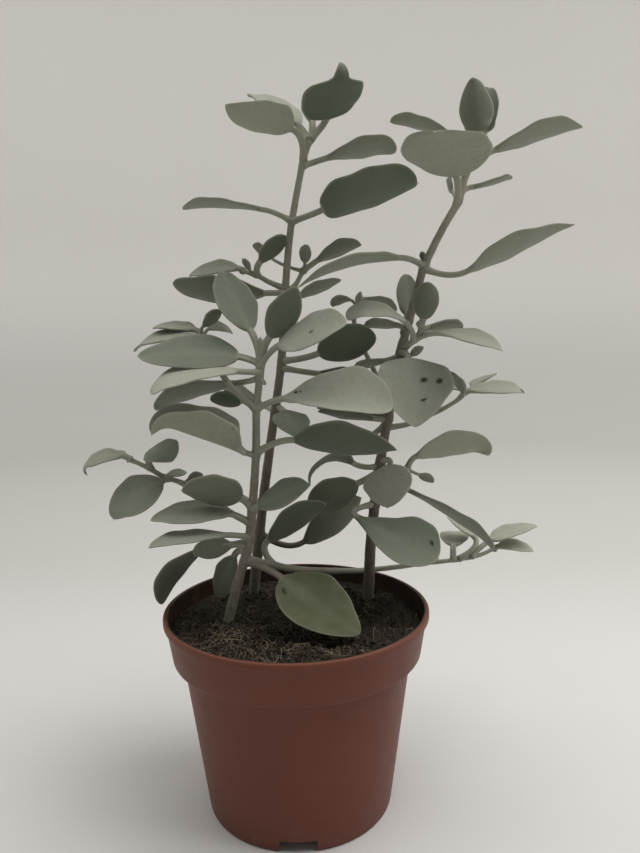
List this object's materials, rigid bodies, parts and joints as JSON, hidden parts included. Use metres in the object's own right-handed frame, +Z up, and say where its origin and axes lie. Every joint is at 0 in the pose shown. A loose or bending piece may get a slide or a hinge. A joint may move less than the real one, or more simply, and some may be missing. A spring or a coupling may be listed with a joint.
{
  "type": "potted silver teaspoons kalanchoe",
  "caption": "Potted succulent: upright woody stems with paired, felted silver-grey spoon-shaped leaves, rooted in peat in a round tapered nursery pot that rests on its base.",
  "frame": {"origin": "middle of the pot's underside, on the surface that it stands on", "axes": "+Z up along the pot's axis; +X to the right and +Y away for someone facing the side with the low long shoot on their right"},
  "size_m": [0.2678, 0.1501, 0.3867],
  "materials": {
    "pot_plastic": "satin",
    "peat": "matte",
    "felted_leaf": "matte"
  },
  "bodies": {
    "root": {"pot": "pot_plastic", "soil": "peat", "leafy_stem_front": "felted_leaf", "leafy_stem_tall": "felted_leaf", "leafy_stem_right": "felted_leaf"}
  },
  "joints": []
}
